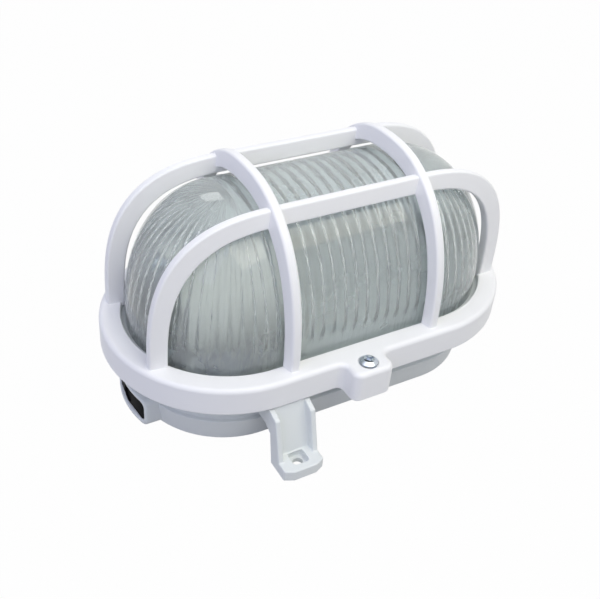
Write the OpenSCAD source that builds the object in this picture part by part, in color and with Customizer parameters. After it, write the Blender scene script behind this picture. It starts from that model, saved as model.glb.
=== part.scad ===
// Oval bulkhead light: moulded base, fluted glass dome and a moulded guard held by two screws.
// X runs along the length, Y across, Z away from the wall. The origin is the middle of the flat back.

/* [Guard ring] */
// Overall length of the ring
ring_len = 200; // [180:1:230]
// Overall width of the ring
ring_w = 112; // [104:1:126]
// Height of the ring
ring_h = 13.8; // [12.5:0.1:18]
// Width of the ring's top face, outer edge to opening
ring_top_w = 9.6; // [8.6:0.1:11]
// Wall of the guard moulding
guard_wall = 2.4; // [2:0.1:2.8]
// Rounding of the ring's upper outer edge
ring_edge_r = 2.2; // [1:0.1:2.3]

/* [Guard hoops and bars] */
// Height of the hoop crowns above the ring
hoop_rise = 72.2; // [71:0.1:86]
// Distance between the middles of the two hoops
hoop_spread = 72; // [60:1:80]
// Width of a hoop's outer face
hoop_t = 4; // [3:0.1:6]
// Slope of a hoop's flanks, from its outer face to its inner edge
hoop_slant = 1.6; // [0.6:0.1:2.4]
// Distance of a hoop's foot from the ring's outer edge
hoop_foot_in = 4; // [2.5:0.1:5]
// Squareness of the hoop arch, 2 is an ellipse
hoop_power = 2.34; // [2.1:0.02:3]
// Distance between the middles of the two long bars
bar_spread = 49.2; // [42:0.2:54]
// Width of a bar's outer face
bar_t = 3.6; // [3:0.1:5]
// Depth of a bar
bar_depth = 8.2; // [6:0.1:9]
// Drop of the bars below the hoop crowns
bar_drop = 7.6; // [5:0.1:8]
// Distance of a bar's foot from the ring's end
bar_foot_in = 9.1; // [8:0.1:9.6]
// Length of a bar's straight top
bar_flat = 62; // [50:1:80]
// Squareness of the bar's bends, 2 is an ellipse
bar_power = 2.94; // [2.4:0.02:3.4]

/* [Guard ears] */
// Distance of an ear from the middle of its side
ear_offset = 4.3; // [0:0.1:12]
// Width of an ear
ear_w = 20; // [18:0.5:26]
// Reach of an ear beyond the ring
ear_reach = 10.3; // [9.8:0.1:14]
// Drop of an ear below the ring's lower edge
ear_drop = 1.4; // [0.8:0.1:3]
// Corner rounding of an ear
ear_corner_r = 4; // [3:0.1:6]
// Distance of the screw axis beyond the ring
screw_reach = 3.4; // [2.5:0.1:4]
// Thread diameter of the guard screws
screw_d = 4; // [3:0.5:4]
// Head diameter of the guard screws
screw_head_d = 8; // [6:0.1:8.4]

/* [Glass] */
// Gap between the glass and the crowns of the hoops
crown_gap = 3; // [1.5:0.1:6]
// Wall of the glass between the flutes
glass_t = 3.4; // [2.6:0.1:4.4]
// Gap between the glass and the ring's opening
glass_clear = 1.9; // [1.2:0.1:2.6]
// Squareness of the glass section, 2 is an ellipse
glass_power = 2.28; // [2.1:0.02:2.4]
// Number of flutes on one straight side
side_flutes = 16; // [9:1:21]
// Number of flutes round one end
end_flutes = 25; // [15:1:31]
// Depth of a flute on the inner face
flute_depth = 1.1; // [0.5:0.05:1.6]
// Plain border of the glass above the ring
glass_plain_h = 6; // [3:0.5:10]
// Plain strip on each side of the ridge
ridge_plain_w = 9; // [6:0.5:14]
// Width of the glass flange under the ring
glass_flange_w = 6.2; // [5:0.1:6.4]
// Thickness of the seal under the glass
seal_t = 2; // [1:0.1:3]

/* [Base] */
// Height of the ring's lower edge above the back face
base_h = 28; // [26:0.5:34]
// Wall of the base
base_wall = 2.6; // [2:0.1:3.2]
// Floor of the base
floor_t = 3; // [2.4:0.1:4]
// Inset of the base's lower edge from the ring
foot_inset = 14.7; // [14:0.1:16.5]
// Inset of the ledge from the ring
ledge_inset = 12.8; // [11:0.1:13.6]
// Height of the ledge
ledge_z = 11.8; // [10:0.1:14]
// Inset of the neck above the ledge
neck_inset = 15; // [14:0.1:17]
// Thickness of the rim that carries the glass
rim_t = 3; // [2.4:0.1:3.6]

/* [Mounting feet] */
// Distance of a foot from the middle of its side
foot_x = 39.6; // [32:0.1:44]
// Width of a foot
foot_w = 19.5; // [17:0.5:24]
// Reach of a foot beyond the ring
foot_reach = 17.2; // [16.2:0.1:24]
// Thickness of the foot plate
foot_t = 5.6; // [4.5:0.1:8]
// Wall of the leg
leg_wall = 2.6; // [2:0.1:3.4]
// Diameter of the hole for the wall screw
foot_hole_d = 4.6; // [3.5:0.1:5.5]
// Width of the pocket over that hole
foot_pocket_w = 7.4; // [6.5:0.1:9]
// Depth of that pocket
foot_pocket_depth = 3.2; // [1.5:0.1:3.6]

/* [Cable entry] */
// Width of the cable boss
boss_w = 34; // [30:0.5:40]
// Height of the cable boss
boss_h = 14.6; // [13:0.1:18]
// Inset of the boss's front from the ring
boss_inset = 7.5; // [5:0.1:9]
// Border of the boss round its slot
boss_rim = 2; // [1.6:0.1:3]
// Set-back of the grommet in its slot
grommet_set = 0.8; // [0.3:0.1:2]
// Depth of the grommet
grommet_depth = 6; // [4:0.1:7]
// Diameter of the cable that the grommet is marked for
cable_d = 8; // [6:0.5:9]

/* [Lampholder] */
// Height of the lamp axis above the back face
lamp_z = 48; // [47:0.5:54]
// Distance of the lampholder's back from the ring's end
holder_end = 30; // [29:0.5:34]
// Diameter of the lampholder's back block
holder_block_d = 46; // [44:0.5:47]
// Length of the back block
holder_block_len = 18; // [17:0.5:20]
// Diameter of the skirt
holder_skirt_d = 39; // [37:0.5:42]
// Length of the skirt
holder_skirt_len = 30; // [26:0.5:34]
// Bore of the screw shell for the lamp cap
shell_bore_d = 26.6; // [26:0.1:28]
// Sheet of the screw shell
shell_t = 0.6; // [0.4:0.1:1]
// Sheet of the bracket
bracket_t = 1.5; // [1:0.1:2]
// Width of the bracket
bracket_w = 36; // [34:0.5:40]
// Length of the bracket's foot
bracket_foot_len = 34; // [30:0.5:36]
// Distance between the two bracket screws
bracket_screw_gap = 27; // [26:0.5:29]
// Diameter of the holder's fixing screws
fixing_d = 3; // [2.5:0.1:3.2]
// Distance between the holder's fixing screws
fixing_gap = 47; // [46:0.2:49]

/* [Terminals and leads] */
// Distance of the terminal block from the lampholder's back
block_gap = 50; // [46:0.5:54]
// Pitch of the terminal poles and of the holder's terminals
pole_pitch = 13; // [12.4:0.1:13.6]
// Length of a terminal pole
pole_len = 17; // [15:0.5:19]
// Height of a terminal pole
pole_h = 14; // [13:0.1:16]
// Diameter of an internal lead
lead_d = 2.6; // [2:0.1:3]

/* [Hidden] */
$fn = 96;

// Fits
eps = 0.02;
seat = 0.3;
hole_clear = 0.25;
over = 1;

// Plan: every oval is a straight core with a band of radius r round it
ring_r = ring_w / 2;
core = ring_len / 2 - ring_r;
ring_in_r = ring_r - ring_top_w;
ring_top = base_h + ring_h;
guard_h = ring_top + hoop_rise;
ring_roof = ring_top - guard_wall;
screw_y = ring_r + screw_reach;
arch_steps = 20;
slant_share = 0.86;
bar_gap = 0.5;

// Stack of the rim, from the base's rim to the ring's roof
rim_gap = 1;
rim_r = ring_r - guard_wall - rim_gap;
rim_low = base_h + rim_gap;
rim_top = rim_low + rim_t;
lip_t = 1.4;
lip_h = 0.8;
glass_foot = rim_top + seal_t;
hoop_inner = ring_in_r / (ring_r - hoop_foot_in);
glass_r = ring_in_r - glass_clear;
glass_h = hoop_rise * hoop_inner - crown_gap;
flange_r = min(glass_r + glass_flange_w, rim_r - lip_t - seat);
flange_top = ring_roof - seat;
lip_top = glass_foot + lip_h;
neck_r = ring_r - neck_inset;
bay_r = neck_r - base_wall;

// Guard screws
seat_depth = 1;
head_gap = 0.4;
tube_r = screw_head_d / 2 + head_gap;
lug_gap = 0.5;
lug_r = ear_reach - guard_wall - screw_reach - lug_gap;
insert_wall = 0.8;
insert_d = screw_d + 2 * insert_wall;
insert_len = 6;
lug_web = 0.6;
lug_low = rim_top - insert_len - lug_web;

// Lampholder along the lamp axis, back to front
holder_x = holder_end - ring_len / 2;
block_x = -holder_x - block_gap;
block_front_x = holder_x + holder_block_len;
mouth_x = block_front_x + holder_skirt_len;
shell_r = shell_bore_d / 2;
shell_gap = 0.8;
well_r = shell_r + shell_t + shell_gap;
shell_set = 3;
shell_lip = 4;
pad_t = 6;
ear_pad_r = 5;
fixing_head_d = 5.6;
fixing_nut_af = 5.5;
fixing_nut_h = 2.4;
fixing_end = 0.6;
contact_w = 6;
contact_t = 0.5;
tongue_back = 7;
tongue_flat = 12;
tongue_len = 8;
tongue_tilt = 7;
side_contact_t = 1;
rivet_d = 3;
rivet_h = 0.8;

// Terminals of the lampholder
terminal_y = pole_pitch / 2;
terminal_w = 7;
terminal_len = 8;
terminal_h = 9;
terminal_gap = 1.5;
terminal_sunk = 1;
terminal_x = holder_x + pad_t + terminal_gap + terminal_len / 2;
terminal_low = lamp_z + terminal_sunk - sqrt(pow(holder_block_d / 2, 2) - pow(terminal_y + terminal_w / 2, 2));
clamp_d = 2.6;
clamp_head_d = 4.2;
clamp_z = 5;
lead_in = 6;

// Bracket and its pillars
pillar_h = 4;
pillar_r = 4;
pillar_top = floor_t + pillar_h;
bracket_edge = 8;
bracket_screw_x = holder_x + bracket_foot_len - bracket_edge;
small_screw_d = 3;
small_head_d = 6;

// Terminal block
block_low = pillar_top;
pole_rise = 5;
pole_z = block_low + pole_rise;
pole_gap = 4.6;
sleeve_d = 5;
sleeve_fit = 0.1;
sleeve_set = 1.5;
web_h = 7;
block_head_d = 4.4;
bend_r = 6;

function quarter(a, h, p) =
    [for (i = [0:arch_steps]) let (t = 90 * i / arch_steps) [a * pow(cos(t), 2 / p), h * pow(sin(t), 2 / p)]];
function mirrored(pts) = [for (i = [len(pts) - 1:-1:0]) [-pts[i][0], pts[i][1]]];
function spread_out(pts, d) = [for (p = pts) [p[0] + d, p[1]]];
// Outline of an arch from its right foot over the crown to its left foot, with a straight top
function arch(a, h, p, flat) =
    let (right = spread_out(quarter(a - flat, h, p), flat))
    concat(right, mirrored(right));

// Both ends of the light, or both long sides, a half turn apart
module both() {
    for (turn = [0, 180])
        rotate([0, 0, turn])
            children();
}

// A section with its radius along x and its height along y, carried round the oval
module oval_sweep() {
    both() {
        translate([core, 0, 0])
            rotate([0, 0, -90])
                rotate_extrude(angle = 180)
                    children();
        translate([-core, 0, 0])
            rotate([90, 0, 90])
                linear_extrude(2 * core)
                    children();
    }
}

// A flat oval of radius r
module oval(r, low, high) {
    translate([0, 0, low])
        linear_extrude(high - low)
            union() {
                square([2 * core, 2 * r], center = true);
                for (x = [-core, core])
                    translate([x, 0])
                        circle(r);
            }
}

// A rectangle with round corners, centred
module round_rect(w, l, r) {
    square([w - 2 * r, l], center = true);
    square([w, l - 2 * r], center = true);
    for (x = [-1, 1], y = [-1, 1])
        translate([x * (w / 2 - r), y * (l / 2 - r)])
            circle(r);
}

// Pan head screw with its head's seat at z = 0, shank downwards
module pan_screw(d, head_d, length) {
    head_h = head_d / 3;
    side_h = head_h * 0.55;
    crown_d = head_d * 0.62;
    cross_len = head_d * 0.6;
    cross_w = head_d * 0.15;
    difference() {
        union() {
            cylinder(d = head_d, h = side_h);
            translate([0, 0, side_h])
                cylinder(d1 = head_d, d2 = crown_d, h = head_h - side_h);
            translate([0, 0, -length])
                cylinder(d = d, h = length + eps);
        }
        for (turn = [0, 90])
            rotate([0, 0, turn])
                translate([-cross_len / 2, -cross_w / 2, head_h / 2])
                    cube([cross_len, cross_w, head_h]);
    }
}

// Hexagon nut standing on z = 0
module hex_nut(af, hole_d, h) {
    difference() {
        cylinder(d = af / cos(30), h = h, $fn = 6);
        translate([0, 0, -over])
            cylinder(d = hole_d, h = h + 2 * over);
    }
}

// Section of the guard ring: an angle with a round outer edge
module ring_section() {
    difference() {
        translate([ring_in_r, base_h])
            square([ring_top_w, ring_h]);
        translate([ring_in_r - over, base_h - over])
            square([ring_top_w - guard_wall + over, ring_h - guard_wall + over]);
        translate([ring_r - ring_edge_r, ring_top - ring_edge_r])
            difference() {
                square(ring_edge_r + over);
                circle(ring_edge_r);
            }
    }
}

// Transverse arch standing in the YZ plane, with flanks that slope out to its inner edge
module hoop() {
    half = ring_r - hoop_foot_in;
    edge = 1 - (1 - hoop_inner) * slant_share;
    translate([0, 0, ring_top])
        rotate([90, 0, 90])
            difference() {
                union() {
                    linear_extrude(hoop_t, center = true)
                        polygon(arch(half, hoop_rise, hoop_power, 0));
                    for (side = [0, 1])
                        mirror([0, 0, side])
                            translate([0, 0, hoop_t / 2])
                                linear_extrude(hoop_slant, scale = edge)
                                    polygon(arch(half, hoop_rise, hoop_power, 0));
                    translate([-half, -guard_wall, -hoop_t / 2])
                        cube([2 * half, guard_wall + eps, hoop_t]);
                }
                linear_extrude(hoop_t + 2 * hoop_slant + 2 * over, center = true)
                    union() {
                        polygon(arch(ring_in_r, hoop_rise * hoop_inner, hoop_power, 0));
                        translate([-ring_in_r, -guard_wall - over])
                            square([2 * ring_in_r, guard_wall + over + eps]);
                    }
            }
}

// Lengthwise arch standing in the XZ plane, kept off the glass
module bar() {
    half = ring_len / 2 - bar_foot_in;
    rise = hoop_rise - bar_drop;
    side = (bar_spread - bar_t) / 2;
    glass_end = core + sqrt(pow(glass_r, 2) - pow(side, 2));
    glass_rise = glass_h * pow(1 - pow(side / glass_r, glass_power), 1 / glass_power);
    inner_half = max(half - bar_depth, glass_end + bar_gap);
    inner_rise = max(rise - bar_depth, glass_rise + bar_gap);
    rotate([90, 0, 0])
        linear_extrude(bar_t, center = true)
            translate([0, ring_top])
                difference() {
                    union() {
                        polygon(arch(half, rise, bar_power, bar_flat / 2));
                        translate([-half, -guard_wall])
                            square([2 * half, guard_wall + eps]);
                    }
                    polygon(arch(inner_half, inner_rise, bar_power, bar_flat / 2));
                    translate([-inner_half, -guard_wall - over])
                        square([2 * inner_half, guard_wall + over + eps]);
                }
}

// Plan of an ear, grown or shrunk by d
module ear_plan(d) {
    reach = ring_r + ear_reach + d;
    depth = ear_reach + ring_top_w;
    translate([-ear_offset, -reach + depth / 2])
        round_rect(ear_w + 2 * d, depth, ear_corner_r + d);
}

module ear() {
    low = base_h - ear_drop;
    difference() {
        translate([0, 0, low])
            linear_extrude(ring_top - low)
                intersection() {
                    ear_plan(0);
                    translate([-ring_len / 2, -ring_w])
                        square([ring_len, ring_w - ring_r + guard_wall]);
                }
        translate([0, 0, low - over])
            linear_extrude(ring_roof - low + over)
                ear_plan(-guard_wall);
    }
    translate([-ear_offset, 0, rim_top + seat])
        linear_extrude(ring_roof - rim_top - seat + eps)
            union() {
                translate([0, -screw_y])
                    circle(tube_r);
                translate([-guard_wall / 2, -ring_r - ear_reach + guard_wall - eps])
                    square([guard_wall, ear_reach - guard_wall - screw_reach]);
            }
}

module guard() {
    color("white")
        difference() {
            union() {
                difference() {
                    oval_sweep()
                        ring_section();
                    both()
                        translate([0, 0, base_h - over])
                            linear_extrude(ring_h - guard_wall + over)
                                intersection() {
                                    ear_plan(-guard_wall);
                                    translate([-ring_len / 2, -ring_w])
                                        square([ring_len, ring_w - ring_in_r - guard_wall]);
                                }
                }
                both() {
                    translate([hoop_spread / 2, 0, 0])
                        hoop();
                    translate([0, bar_spread / 2, 0])
                        bar();
                    ear();
                }
            }
            both()
                translate([-ear_offset, -screw_y, 0]) {
                    cylinder(d = screw_d + 2 * hole_clear, h = guard_h);
                    translate([0, 0, ring_top - seat_depth])
                        cylinder(r = tube_r, h = guard_h);
                }
        }
}

module guard_screws() {
    color("lightsteelblue")
        both()
            translate([-ear_offset, -screw_y, ring_top - seat_depth])
                pan_screw(screw_d, screw_head_d, ring_top - seat_depth - lug_low);
}

// Threaded bushes in the lugs of the base
module guard_inserts() {
    color("goldenrod")
        both()
            translate([-ear_offset, -screw_y, rim_top - insert_len])
                difference() {
                    cylinder(d = insert_d, h = insert_len);
                    translate([0, 0, -over])
                        cylinder(d = screw_d, h = insert_len + 2 * over);
                }
}

// Points of the glass: the oval at radius r, cut into n steps along a side and m round an end.
// Half the oval runs along the near side and round the right end, and a half turn gives the rest.
function half_point(k, r, n, m) =
    k < n
        ? [-core + 2 * core * k / n, -r]
        : let (t = -90 + 180 * (k - n) / m) [core + r * cos(t), r * sin(t)];
function oval_points(r, z, n, m) =
    [for (sign = [1, -1], k = [0:n + m - 1]) let (q = sign * half_point(k, r, n, m)) [q[0], q[1], z]];

// Rows of the dome: radius and height, from the ring's level to the ridge
outer_rows = 10;
inner_rows = 8;
ridge_r = 2.5;
function dome_row(share, r, h) = let (t = acos(pow(ridge_r / r, glass_power / 2)) * share)
    [r * pow(cos(t), 2 / glass_power), ring_top + h * pow(sin(t), 2 / glass_power)];
// Flutes are cut where the glass is neither in its plain border nor in the plain strip at the ridge
function is_fluted(p) = p[1] > ring_top + glass_plain_h && p[0] > ridge_plain_w;

glass_in_r = glass_r - glass_t;
glass_in_h = glass_h - glass_t;
outer_section = concat([[flange_r, glass_foot], [flange_r, flange_top], [glass_r, flange_top]],
    [for (i = [0:outer_rows]) dome_row(i / outer_rows, glass_r, glass_h)]);
inner_section = concat([for (i = [inner_rows:-1:0]) dome_row(i / inner_rows, glass_in_r, glass_in_h)],
    [[glass_in_r, glass_foot]]);

// One ring of inner points: every second one lies at the bottom of a flute, along the surface's normal
function fluted_ring(p) =
    let (
        lift = is_fluted(p) ? flute_depth : 0,
        up = (p[1] - ring_top) / glass_in_h,
        ridge = oval_points(p[0], p[1], 2 * side_flutes, 2 * end_flutes),
        valley = oval_points(p[0] + lift * sqrt(1 - up * up), p[1] + lift * up, 2 * side_flutes, 2 * end_flutes)
    )
    [for (k = [0:len(ridge) - 1]) k % 2 == 0 ? ridge[k] : valley[k]];

outer_cols = 2 * (side_flutes + end_flutes);
inner_cols = 2 * outer_cols;
inner_start = len(outer_section) * outer_cols;
inner_last = inner_start + (len(inner_section) - 1) * inner_cols;
glass_points = concat(
    [for (p = outer_section) each oval_points(p[0], p[1], side_flutes, end_flutes)],
    [for (p = inner_section) each fluted_ring(p)]);
// Triangles between two rings of n points that start at a and b
function band(a, b, n) = [for (k = [0:n - 1]) let (m = (k + 1) % n)
    each [[a + k, b + k, b + m], [a + k, b + m, a + m]]];
// Triangles of the foot, from the inner ring to the outer one with half its points
function foot_band(a, b, n) = [for (k = [0:n - 1]) let (m = (k + 1) % n)
    each [[a + 2 * k, b + k, a + 2 * k + 1], [a + 2 * k + 1, b + k, b + m], [a + 2 * k + 1, b + m, a + 2 * m]]];
// Narrow top inside the ring that starts at a: a strip across the core and a fan at each end
function ridge_cap(a, n, m) = concat(
    [for (k = [0:n - 1]) let (far = a + 2 * n + m - k)
        each [[a + k, a + k + 1, far - 1], [a + k, far - 1, far]]],
    [for (half = [0, 1], j = [1:m - 1]) let (b = half * (n + m) + n)
        [a + b, a + b + j, a + (b + j + 1) % (2 * (n + m))]]);
function flipped(tris) = [for (t = tris) [t[2], t[1], t[0]]];
glass_faces = concat(
    [for (j = [0:len(outer_section) - 2]) each band(j * outer_cols, (j + 1) * outer_cols, outer_cols)],
    flipped(ridge_cap(inner_start - outer_cols, side_flutes, end_flutes)),
    ridge_cap(inner_start, 2 * side_flutes, 2 * end_flutes),
    [for (j = [0:len(inner_section) - 2])
        each band(inner_start + j * inner_cols, inner_start + (j + 1) * inner_cols, inner_cols)],
    foot_band(inner_last, 0, outer_cols));

module glass() {
    color([0.78, 0.84, 0.82, 0.55])
        polyhedron(points = glass_points, faces = glass_faces, convexity = 6);
}

module seal() {
    color("dimgray")
        difference() {
            oval(rim_r - lip_t - seat, rim_top, glass_foot);
            oval(glass_in_r, rim_top - over, glass_foot + over);
        }
}

// Section of the base: floor, lower wall with its ledge, neck and rim with its lip
module base_section() {
    polygon([[0, 0], [ring_r - foot_inset - 1, 0], [ring_r - foot_inset, 1], [ring_r - ledge_inset, ledge_z],
        [neck_r, ledge_z], [neck_r, rim_low], [rim_r, rim_low], [rim_r, lip_top], [rim_r - lip_t, lip_top],
        [rim_r - lip_t, rim_top], [bay_r, rim_top], [bay_r, floor_t], [0, floor_t]]);
}

// Lug that carries a guard screw and its threaded bush
module lug() {
    difference() {
        translate([-ear_offset, 0, lug_low])
            linear_extrude(rim_top - lug_low)
                union() {
                    translate([0, -screw_y])
                        circle(lug_r);
                    translate([-lug_r, -screw_y])
                        square([2 * lug_r, screw_y - neck_r + eps]);
                }
        translate([-ear_offset, -screw_y, 0])
            cylinder(d = screw_d + 2 * hole_clear, h = rim_top + over);
        translate([-ear_offset, -screw_y, rim_top - insert_len])
            cylinder(d = insert_d, h = insert_len + over);
    }
}

// Mounting foot, seen from the side
plate_len = 7;
channel_depth = 4.2;
leg_lean = 2.6;
leg_knee = 3;
shelf_t = 9;
foot_front = ring_r + foot_reach;
leg_front = foot_front - plate_len;
leg_back = leg_front - leg_wall - channel_depth;
leg_top = base_h - 2 * seat;
leg_front_top = ring_r + 5;
shelf_z = leg_top - shelf_t;
shelf_back = leg_back - 7;
core_depth = 8;
hole_y = leg_front + foot_pocket_w / 2 - 4;
chamfer_x = 4.4;
chamfer_y = 2;
pocket_r = 1.6;

// Mounting foot: a channel leg dropping from under the ring to a pierced plate
module foot() {
    inner_w = foot_w - 2 * leg_wall;
    side = [[-neck_r + over, leg_top], [-ring_r, leg_top], [-leg_front_top, leg_top - 2], [-leg_front, foot_t],
        [-foot_front, foot_t], [-foot_front, 0], [-leg_back, 0], [-leg_back + leg_lean, shelf_z - leg_knee],
        [-shelf_back, shelf_z], [-neck_r + over, shelf_z]];
    channel = [[-ring_r + 1.5, leg_top + over], [-foot_front, leg_top + over], [-foot_front - over, foot_t],
        [-leg_back - leg_wall, foot_t], [-leg_back + leg_lean - leg_wall, shelf_z - leg_knee]];
    difference() {
        translate([-foot_x, 0, 0])
            rotate([90, 0, 90])
                linear_extrude(foot_w, center = true)
                    polygon(side);
        translate([-foot_x, 0, 0])
            rotate([90, 0, 90])
                linear_extrude(inner_w, center = true)
                    polygon(channel);
        for (s = [-1, 1])
            translate([-foot_x, -foot_front, -over])
                linear_extrude(foot_t + 2 * over)
                    polygon([[s * (foot_w / 2 - chamfer_x), -over], [s * (foot_w / 2 - chamfer_x), 0],
                        [s * foot_w / 2, chamfer_y], [s * (foot_w / 2 + over), chamfer_y],
                        [s * (foot_w / 2 + over), -over]]);
        translate([-foot_x, 0, shelf_z - over])
            rotate([90, 0, 90])
                linear_extrude(inner_w, center = true)
                    translate([-neck_r - core_depth, 0])
                        square([core_depth, leg_top - leg_wall - shelf_z + over]);
        translate([-foot_x, -hole_y, 0]) {
            translate([0, 0, -over])
                cylinder(d = foot_hole_d, h = foot_t + 2 * over);
            translate([0, 0, foot_t - foot_pocket_depth])
                linear_extrude(foot_pocket_depth + over)
                    round_rect(foot_pocket_w, foot_pocket_w, pocket_r);
        }
    }
}

boss_r = ring_r - boss_inset;
slot_w = boss_w - 2 * boss_rim;
slot_low = boss_rim;
slot_high = boss_h - boss_rim;
slot_corner = 2.6;
mark_depth = 1;
web_back = 3;

// Body with its front rounded about the end of the oval, from radius a to radius b
module end_block(w, a, b, low, high) {
    translate([0, 0, low])
        linear_extrude(high - low)
            intersection() {
                translate([-core, 0])
                    difference() {
                        circle(b);
                        circle(a);
                    }
                translate([-ring_len, -w / 2])
                    square([ring_len - core, w]);
            }
}

module slot_plan(grow) {
    translate([0, (slot_low + slot_high) / 2])
        round_rect(slot_w + 2 * grow, slot_high - slot_low + 2 * grow, slot_corner + grow);
}

module pillar(x, y) {
    translate([x, y, floor_t - eps])
        cylinder(r = pillar_r, h = pillar_h + eps);
}

module base() {
    color([0.92, 0.93, 0.95])
        difference() {
            union() {
                oval_sweep()
                    base_section();
                both() {
                    lug();
                    foot();
                }
                end_block(boss_w, bay_r, boss_r, 0, boss_h);
                for (y = [-1, 1])
                    pillar(bracket_screw_x, y * bracket_screw_gap / 2);
                pillar(-block_x, 0);
            }
            translate([-core - bay_r + 2 * base_wall, 0, 0])
                rotate([90, 0, -90])
                    linear_extrude(ring_len)
                        slot_plan(0);
            for (y = [-1, 1])
                translate([bracket_screw_x, y * bracket_screw_gap / 2, floor_t])
                    cylinder(d = small_screw_d, h = pillar_top);
            translate([-block_x, 0, floor_t])
                cylinder(d = small_screw_d, h = pillar_top);
        }
}

// Rubber plug in the slot of the boss, with a marked membrane for the cable
module cable_grommet() {
    outer = boss_r - grommet_set;
    inner = outer - grommet_depth;
    mid_z = (slot_low + slot_high) / 2;
    color([0.07, 0.07, 0.08])
        difference() {
            intersection() {
                end_block(slot_w, inner, outer, slot_low, slot_high);
                translate([-core, 0, 0])
                    rotate([90, 0, -90])
                        linear_extrude(ring_len)
                            slot_plan(-sleeve_fit);
            }
            translate([-core - outer + mark_depth, 0, mid_z])
                rotate([0, -90, 0])
                    cylinder(d = cable_d, h = grommet_depth);
            translate([-core - outer + web_back, 0, mid_z])
                rotate([0, 90, 0])
                    cylinder(d = cable_d, h = grommet_depth);
        }
}

// Angle bracket: an upright plate behind the lampholder and a foot on two pillars
module bracket() {
    upright_top = lamp_z + fixing_gap / 2 + ear_pad_r;
    taper = bracket_w / 2 - ear_pad_r;
    color("gainsboro")
        difference() {
            union() {
                translate([holder_x - bracket_t, 0, 0])
                    rotate([90, 0, 90])
                        linear_extrude(bracket_t)
                            polygon([[-bracket_w / 2, pillar_top], [bracket_w / 2, pillar_top],
                                [bracket_w / 2, upright_top - taper], [ear_pad_r, upright_top],
                                [-ear_pad_r, upright_top], [-bracket_w / 2, upright_top - taper]]);
                translate([holder_x - bracket_t, -bracket_w / 2, pillar_top])
                    cube([bracket_foot_len + bracket_t, bracket_w, bracket_t]);
            }
            bracket_holes()
                cylinder(d = small_screw_d + 2 * hole_clear, h = bracket_t + 2 * over, center = true);
            holder_fixings()
                translate([0, 0, -bracket_t - over])
                    cylinder(d = fixing_d + 2 * hole_clear, h = bracket_t + 2 * over);
        }
}

module bracket_holes() {
    for (y = [-1, 1])
        translate([bracket_screw_x, y * bracket_screw_gap / 2, pillar_top + bracket_t])
            children();
}

module bracket_screws() {
    color("silver")
        bracket_holes()
            pan_screw(small_screw_d, small_head_d, bracket_t + pillar_h);
}

// The two fixings of the lampholder: z runs forwards along the lamp axis from its back face
module holder_fixings() {
    for (s = [-1, 1])
        translate([holder_x, 0, lamp_z + s * fixing_gap / 2])
            rotate([0, 90, 0])
                children();
}

module along_axis(x) {
    translate([x, 0, lamp_z])
        rotate([0, 90, 0])
            children();
}

// The two terminals under the back block, one on each side of the middle
module terminal_places() {
    for (s = [-1, 1])
        translate([terminal_x, s * terminal_y, terminal_low])
            rotate([0, 0, 90 - s * 90])
                children();
}

// Ceramic body: a back block with fixing pads and terminal pockets, and a skirt round the screw shell
module holder_body() {
    pocket_len = terminal_len + 2 * hole_clear;
    pocket_w = terminal_w + 2 * hole_clear;
    color("ivory")
        difference() {
            union() {
                along_axis(holder_x)
                    cylinder(d = holder_block_d, h = holder_block_len);
                along_axis(block_front_x - eps)
                    cylinder(d = holder_skirt_d, h = holder_skirt_len + eps);
                holder_fixings()
                    cylinder(r = ear_pad_r, h = pad_t);
                along_axis(holder_x)
                    linear_extrude(pad_t)
                        square([fixing_gap, 2 * ear_pad_r], center = true);
            }
            along_axis(block_front_x)
                cylinder(r = well_r, h = holder_skirt_len + over);
            holder_fixings() {
                translate([0, 0, -over])
                    cylinder(d = fixing_d + 2 * hole_clear, h = pad_t + 2 * over);
                translate([0, 0, pad_t])
                    cylinder(d = fixing_head_d + 2 * hole_clear, h = holder_block_len);
            }
            terminal_places() {
                translate([-pocket_len / 2, -pocket_w / 2, -terminal_h])
                    cube([pocket_len, pocket_w, 2 * terminal_h + hole_clear]);
                translate([0, 0, clamp_z])
                    rotate([-90, 0, 0])
                        cylinder(d = clamp_head_d + 2 * hole_clear, h = holder_block_d);
            }
        }
}

// Screw shell for the lamp cap: a tube with a pierced floor and a rolled rim
module holder_shell() {
    color("goldenrod")
        difference() {
            union() {
                along_axis(block_front_x + side_contact_t)
                    cylinder(r = shell_r + shell_t, h = holder_skirt_len - side_contact_t - shell_set);
                along_axis(mouth_x - shell_set - shell_t)
                    cylinder(r = well_r - seat, h = shell_t);
            }
            along_axis(block_front_x + side_contact_t + shell_t)
                cylinder(r = shell_r, h = holder_skirt_len);
            along_axis(block_front_x)
                cylinder(r = shell_r - shell_lip, h = holder_skirt_len);
        }
}

// Spring tongue that meets the lamp's tip, riveted to the floor of the well
module centre_contact() {
    color("goldenrod")
        along_axis(block_front_x) {
            translate([-tongue_back, -contact_w / 2, 0])
                cube([tongue_flat, contact_w, contact_t]);
            rotate([0, -tongue_tilt, 0])
                translate([0, -contact_w / 2, 0])
                    cube([tongue_len, contact_w, contact_t]);
        }
}

// Strip that carries the screw shell on the floor of the well
module side_contact() {
    color("goldenrod")
        along_axis(block_front_x)
            translate([shell_r - shell_lip, -contact_w / 2, 0])
                cube([shell_lip, contact_w, side_contact_t]);
}

module contact_rivet() {
    color("darkgoldenrod")
        along_axis(block_front_x + contact_t)
            translate([rivet_d / 2 - tongue_back, 0, 0])
                cylinder(d = rivet_d, h = rivet_h);
}

// Brass clamps in the pockets of the back block, each bored for its lead and its screw
module holder_terminals() {
    color("goldenrod")
        terminal_places()
            difference() {
                translate([-terminal_len / 2, -terminal_w / 2, 0])
                    cube([terminal_len, terminal_w, terminal_h]);
                translate([0, 0, -over])
                    cylinder(d = lead_d + 2 * hole_clear, h = terminal_h - 1);
                translate([0, 0, clamp_z])
                    rotate([-90, 0, 0])
                        cylinder(d = clamp_d, h = terminal_w);
            }
}

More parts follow.
